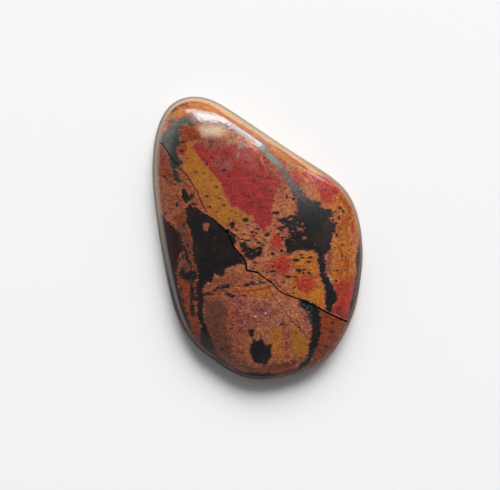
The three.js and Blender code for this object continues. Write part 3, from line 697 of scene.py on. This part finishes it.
def in_the_rock(points):
    """Where in the face's pattern each point lies. It dips and bends with depth, so the back differs."""
    x, y, z = points.T
    deep = np.clip((GIRDLE_TOP - z) / GIRDLE_TOP, 0, 1)
    shrunk = 1 - 0.1 * deep
    return np.column_stack([
        x * shrunk + deep * (1.3 + 0.7 * np.sin(0.55 * y + 1)),
        y * shrunk + deep * (-1.8 + 0.6 * np.sin(0.6 * x)),
    ])


def in_row_frame(points):
    """The points in metres, in the solid's box."""
    low, high = points.min(0), points.max(0)
    cad = np.array([cad_low, cad_high])
    return cad[0] + (points - low) * (cad[1] - cad[0]) / (high - low)


def keep(mesh, name, values):
    """Stores a value or a vector for each point of the mesh."""
    kind, field = ("FLOAT", "value") if values.ndim == 1 else ("FLOAT_VECTOR", "vector")
    mesh.attributes.new(name, kind, "POINT").data.foreach_set(field, values.astype(np.float32).ravel())


def placed(name, data):
    """A new object in the scene."""
    made = bpy.data.objects.new(name, data)
    bpy.context.scene.collection.objects.link(made)
    return made


def make_stone():
    """The mesh keeps each point's place in the rock and its way from each part of the pattern."""
    points, triangles = whole_stone()
    mesh = bpy.data.meshes.new("stone")
    mesh.from_pydata(in_row_frame(points), [], triangles.tolist())
    mesh.shade_smooth()
    plan = in_the_rock(points)
    grinding_starts = 0.12  # this far below the girdle's top, no polish is left
    keep(mesh, "rock", np.column_stack([plan, points[:, 2]]))
    keep(mesh, "ground", np.clip((GIRDLE_TOP - points[:, 2]) / grinding_starts, 0, 1))
    shapes = {name: patch[-1] for name, patch in PATCHES.items()}
    for name, polygons in {**shapes, **ZONES}.items():
        keep(mesh, name, from_polygons(plan, polygons))
    keep(mesh, "iron", np.maximum(from_polygons(plan, IRON), -from_polygons(plan, OPENINGS)))
    for name, spots in {"specks": SPECKS, "smudges": SMUDGES, "sheen_painted_specks": SHEEN_PAINTED_SPECKS, "quartz_and_painted_glints": QUARTZ_AND_PAINTED_GLINTS}.items():
        keep(mesh, name, from_ellipses(plan, spots))
    keep(mesh, "crack", crack_share(plan)[0])
    keep(mesh, "seam", np.min([from_way(plan, np.array(seam)) for seam in SEAMS], 0))
    return placed("stone", mesh)


def paint(red, green, blue):
    """A colour of the screen, 0 to 255, as the light that it stands for."""
    shares = [c / 255 for c in (red, green, blue)]
    return (*(s / 12.92 if s <= 0.04045 else ((s + 0.055) / 1.055) ** 2.4 for s in shares), 1)


class Nodes:
    """Adds shader nodes. Their inputs are values, or the sockets that they come from."""

    def __init__(self, tree):
        self.tree = tree

    def add(self, kind, inputs, output=0, **settings):
        node = self.tree.nodes.new("ShaderNode" + kind)
        for name, value in settings.items():
            setattr(node, name, value)
        for place, value in inputs.items():
            self.feed(node.inputs[place], value)
        return node.outputs[output]

    def feed(self, socket, value):
        if isinstance(value, bpy.types.NodeSocket):
            self.tree.links.new(value, socket)
        else:
            socket.default_value = value

    def kept(self, name, output="Fac"):
        return self.add("Attribute", {}, output, attribute_name=name)

    def parts(self, vector):
        """The vector's x, y and z."""
        return self.add("SeparateXYZ", {0: vector}).node.outputs[:]

    def math(self, operation, a, b=0.0):
        return self.add("Math", {0: a, 1: b}, operation=operation)

    def plus(self, *terms):
        return functools.reduce(lambda a, b: self.math("ADD", a, b), terms)

    def minus(self, a, b):
        return self.math("SUBTRACT", a, b)

    def times(self, *factors):
        return functools.reduce(lambda a, b: self.math("MULTIPLY", a, b), factors)

    def larger(self, a, b):
        return self.math("MAXIMUM", a, b)

    def mix(self, share, a, b, blend="MIX"):
        """A mix of two colours, each a socket or a colour of the screen."""
        a, b = (paint(*c) if isinstance(c, tuple) else c for c in (a, b))
        return self.add("Mix", {0: share, 6: a, 7: b}, output=2, data_type="RGBA", blend_type=blend)

    def noise(self, place, scale, detail, roughness=0.5):
        inputs = {"Vector": place, "Scale": scale, "Detail": detail, "Roughness": roughness}
        return self.add("TexNoise", inputs)

    def stretched(self, place, x, y):
        return self.add("VectorMath", {0: place, 1: (x, y, 1)}, operation="MULTIPLY")

    def rise(self, value, low, high, start=0.0, end=1.0):
        """The start at low and the end at high, with a smooth rise between."""
        limits = {0: value, 1: low, 2: high, 3: start, 4: end}
        return self.add("MapRange", limits, interpolation_type="SMOOTHSTEP")

    def inside(self, distance, wobble, ragged, soft):
        """1 inside a patch. Its edge is pushed to and fro by the wobble."""
        return self.rise(self.plus(distance, self.times(wobble, ragged)), soft, -soft)


class Rock(Nodes):
    """The nodes that the stone's colour, polish and relief share. They start from what its mesh keeps."""

    def __init__(self, tree):
        super().__init__(tree)
        self.place = self.kept("rock", "Vector")
        self.across, self.along, self.level = self.parts(self.place)
        self.broad = self.noise(self.place, 0.55, 4.0, 0.55)
        self.grain = self.bedded(1.3, 5.5, 4.0, 0.7)
        self.granules = self.noise(self.place, 4.5, 2.0)
        self.wobble = self.minus(self.bedded(2.2, 2.2, 6.0, 0.7), 0.5)
        self.fine_wobble = self.minus(self.grain, 0.5)

        # Grains of a light and a dark tone fill each patch, and more are dark where the mottle is high.
        mottle = self.bedded(1.3, 1.9, 5.0, 0.66)
        self.tone = self.rise(self.plus(self.times(self.grain, 0.62), self.times(mottle, 0.38)), 0.46, 0.54)

        self.iron_edge = self.kept("iron")
        self.vein = self.vein_share()
        self.silver_and_painted_sheen = self.zone("silver_and_painted_sheen", 1.0, 0.6)
        self.eastern = self.rise(self.across, -3.0, 0.0)
        self.grainy = self.zone("grainy", 0.5, 0.25)
        self.open_line = self.rise(self.kept("crack"), 1.9, 1.3)
        self.ground = self.kept("ground")
        # Towards the narrow end. The ground skin's paleness there is partly painted light; the shaded bottom
        # is left darker.
        self.upper = self.rise(self.along, -7.0, 2.0)

    def bedded(self, flat, *how):
        """Noise flattened into beds."""
        return self.noise(self.stretched(self.place, 1.0, flat), *how)

    def streaky(self, x, y):
        """Noise drawn out along the streaks."""
        spun = self.add("VectorRotate", {"Vector": self.place, "Angle": STREAK_TURN})
        return self.noise(self.stretched(spun, x, y), 1.3, 4.0, 0.6)

    def zone(self, name, ragged, soft):
        return self.inside(self.kept(name), self.wobble, ragged, soft)

    def spots(self, name, ragged, soft):
        return self.inside(self.kept(name), self.fine_wobble, ragged, soft)

    def vein_share(self):
        """1 in the iron, apart from the islands of rock that break it up."""
        limit = self.minus(0.82, self.times(self.zone("broken", 1.0, 0.3), 0.2))
        whole = self.rise(self.minus(self.bedded(1.4, 2.3, 3.0, 0.6), limit), 0.02, -0.02)
        edge_wobble = self.plus(self.times(self.wobble, 0.8), self.times(self.fine_wobble, 0.8))
        return self.times(self.inside(self.iron_edge, edge_wobble, 1.0, 0.03), whole)


# Each layer of colour below takes the rock's nodes as g, and the colour that it lies over.
def patches(g):
    colour = g.mix(g.rise(g.broad, 0.38, 0.62), (178, 106, 66), (188, 120, 74))
    colour = g.mix(g.tone, colour, (142, 76, 58))
    for name, (light, dark, ragged, soft, _) in PATCHES.items():
        colour = g.mix(g.zone(name, ragged, soft), colour, g.mix(g.tone, light, dark))
    return colour


def streaks(g, colour):
    """Threads and streaks of red on the right, and the thin red seams."""
    thread = g.rise(g.math("ABSOLUTE", g.minus(g.streaky(1.6, 0.8), 0.5)), 0.03, 0.006)
    thread = g.times(thread, g.zone("threaded", 1.2, 0.4), 0.75)
    colour = g.mix(thread, colour, (132, 44, 28))
    streak = g.times(g.rise(g.streaky(2.4, 0.7), 0.5, 0.6), g.zone("streaked", 1.0, 0.4), 0.8)
    colour = g.mix(streak, colour, (146, 58, 30))
    seam = g.inside(g.minus(g.kept("seam"), 0.09), g.fine_wobble, 0.3, 0.08)
    return g.mix(g.times(seam, 0.8), colour, (150, 58, 22))


def flecks(g, colour):
    """A pinkish tone round the iron, and dark flecks along the bedding."""
    halo = g.rise(g.plus(g.iron_edge, g.times(g.wobble, 1.6)), 0.22, 0.0)
    colour = g.mix(g.times(halo, 0.35), colour, g.mix(g.tone, (150, 84, 70), (112, 60, 60)))
    limit = g.minus(0.675, g.times(g.zone("flecked", 1.2, 0.4), 0.085))
    fleck = g.rise(g.minus(g.bedded(2.2, 3.3, 3.0, 0.6), limit), -0.012, 0.02)
    colour = g.mix(g.times(fleck, 0.78), colour, (62, 38, 50))
    colour = g.mix(g.times(g.spots("smudges", 0.32, 0.04), 0.7), colour, (58, 34, 42))
    return g.mix(g.spots("specks", 0.4, 0.03), colour, (42, 36, 42))


def iron(g, colour):
    """The veins of iron, the hematite specks painted light grey as a sheen, and the pale grains of quartz,
    partly painted glints. The silver part's light grey on the right is a painted sheen.
    """
    metal = g.mix(g.rise(g.broad, 0.45, 0.6), (94, 90, 90), (118, 98, 95))
    # The light grey in the silver zone. On the right, where the iron is barely metallic, it is a painted
    # sheen.
    metal = g.mix(g.silver_and_painted_sheen, metal, g.mix(g.eastern, (136, 138, 128), (138, 136, 128)))
    metal = g.mix(g.times(g.tone, 0.35), metal, (54, 50, 50))
    colour = g.mix(g.vein, colour, metal)
    # Specks painted light grey: a painted sheen on the hematite.
    colour = g.mix(g.times(g.spots("sheen_painted_specks", 0.7, 0.1), 0.7), colour, (122, 122, 110))
    # Pale grains: partly their own colour and partly painted glints.
    return g.mix(g.times(g.spots("quartz_and_painted_glints", 0.2, 0.05), 0.85), colour, (226, 206, 196))


def open_lines(g, colour):
    return g.mix(g.open_line, colour, (26, 17, 15))


def ground_skin(g, colour):
    """The girdle and the back, which are ground and duller. Their paleness towards the narrow end, where the
    light falls, is partly painted light, and their darker olive on the east is partly painted shade.
    """
    dulled = g.mix(1.0, colour, (140, 130, 122), "MULTIPLY")
    colour = g.mix(g.times(g.ground, 0.35), colour, dulled)
    # Pale tan, and darker olive towards the east: partly painted shade.
    tan_and_painted_east_shade = g.mix(g.rise(g.across, 3.0, 8.0), (212, 186, 150), (104, 104, 82))
    painted_lit_skin = g.mix(g.rise(g.plus(g.level, g.wobble), 0.7, 1.2), (136, 140, 118), tan_and_painted_east_shade)
    # The paleness lies only towards the narrow end, where the light falls: partly painted light.
    return g.mix(g.times(g.ground, g.upper, 0.45), colour, painted_lit_skin)


def roughness(g):
    """The face is polished, less so on the iron, in the grainy zones and at the foot of the shoulder."""
    polish = g.plus(0.035, g.times(g.grain, 0.045), g.times(g.vein, 0.12))
    dull = g.times(g.rise(g.granules, 0.5, 0.54), g.grainy, 0.7)
    way = g.add("VectorMath", {0: g.place, 1: (*FOOT_WAY, 0)}, "Value", operation="DOT_PRODUCT")
    foot = g.times(g.rise(way, 2.5, 5.0), g.rise(g.level, 2.45, 2.0), 0.5)
    matte = g.times(g.ground, g.minus(0.85, g.times(g.upper, 0.25)))
    return functools.reduce(g.larger, [polish, dull, foot, matte, g.times(g.open_line, 0.85)])


def metallic(g):
    """The iron's lustre, weaker where it is ground and in its silver part on the right, whose light grey is
    then mostly a painted sheen. An open line has it too, and so stays black in the light."""
    shine = g.times(g.vein, g.minus(0.9, g.times(g.ground, 0.5)))
    return g.larger(g.times(shine, g.minus(1.0, g.times(g.silver_and_painted_sheen, g.eastern, 0.85))), g.open_line)


def relief(g):
    """The fine relief of the polish, which is coarser in the grainy zones."""
    fine = g.times(g.noise(g.place, 10.0, 2.0), 0.4)
    return g.plus(fine, g.times(g.granules, g.grainy, 4.0), g.noise(g.place, 5.0, 3.0, 0.6))


def stone_material():
    material = bpy.data.materials.new("mugglestone")
    material.use_nodes = True
    g = Rock(material.node_tree)
    colour = patches(g)
    for layer in (streaks, flecks, iron, open_lines, ground_skin):
        colour = layer(g, colour)
    bump = {"Strength": 0.28, "Distance": 0.02 * MM, "Height": relief(g)}
    shader = material.node_tree.nodes["Principled BSDF"]
    shader.inputs["IOR"].default_value = 1.66
    g.feed(shader.inputs["Base Color"], colour)
    g.feed(shader.inputs["Roughness"], roughness(g))
    g.feed(shader.inputs["Metallic"], metallic(g))
    g.feed(shader.inputs["Normal"], g.add("Bump", bump))
    return material


stone = make_stone()
stone.data.materials.append(stone_material())
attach(stone, "root")
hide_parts("mugglestone")


def make_floor():
    bpy.ops.mesh.primitive_plane_add(size=1.2)
    floor = bpy.context.object
    floor.name = "floor"
    paper = bpy.data.materials.new("paper")
    paper.use_nodes = True
    shader = paper.node_tree.nodes["Principled BSDF"]
    shader.inputs["Base Color"].default_value = (0.93, 0.93, 0.93, 1)
    shader.inputs["Roughness"].default_value = 0.9
    shader.inputs["Specular IOR Level"].default_value = 0.1
    floor.data.materials.append(paper)


# The light comes from panes that stand upright north of the stone. Their bearings are as the stone sees them.
PANE_AWAY = 0.7
PANE_EAST = 36


def pane(name, low, high, west, power):
    """A pane of light between two elevations and from a bearing in the west, in degrees."""
    middle, half_angle = math.radians((PANE_EAST - west) / 2), math.radians((PANE_EAST + west) / 2)
    bottom, top = (PANE_AWAY * math.tan(math.radians(e)) for e in (low, high))
    data = bpy.data.lights.new(name, "AREA")
    data.shape = "RECTANGLE"
    data.size = 2 * PANE_AWAY * math.tan(half_angle)
    data.size_y = top - bottom
    data.energy = power
    light = placed(name, data)
    light.location = (math.sin(middle) * PANE_AWAY, math.cos(middle) * PANE_AWAY, (bottom + top) / 2)
    light.rotation_euler = (math.radians(-90), 0, -middle)


def make_room():
    """The room's dim light, which is weaker away from the window and towards the zenith."""
    world = bpy.data.worlds.new("room")
    world.use_nodes = True
    g = Nodes(world.node_tree)
    _, north, up = g.parts(g.add("TexCoord", {}))
    light = g.times(g.rise(north, -0.1, 0.4, 0.24, 0.6), g.rise(up, 0.5, 0.95, 1.0, 0.19))
    background = world.node_tree.nodes["Background"]
    background.inputs["Color"].default_value = (0.97, 0.98, 1, 1)
    g.feed(background.inputs["Strength"], light)
    bpy.context.scene.world = world


make_floor()
pane("window", 34, 56, 11, 12.4)
pane("window_low", 22, 34, 22, 2.8)
pane("ceiling", 57, 67, 14, 1.2)
make_room()
bpy.context.scene.view_settings.view_transform = "Standard"

# The camera looks straight down. The photo covers this much width, and its middle lies off the stone's.
VIEW_WIDTH = 45.6 * MM
VIEW_MIDDLE = (-0.696 * MM, -0.65 * MM)
CAMERA_HEIGHT = 0.6
SENSOR = 36


def make_camera():
    lens = bpy.data.cameras.new("camera")
    lens.sensor_width = SENSOR
    lens.lens = SENSOR * CAMERA_HEIGHT / VIEW_WIDTH
    lens.clip_start = 0.01
    lens.clip_end = 10
    camera = placed("camera", lens)
    camera.location = (*VIEW_MIDDLE, CAMERA_HEIGHT)
    bpy.context.scene.camera = camera


make_camera()
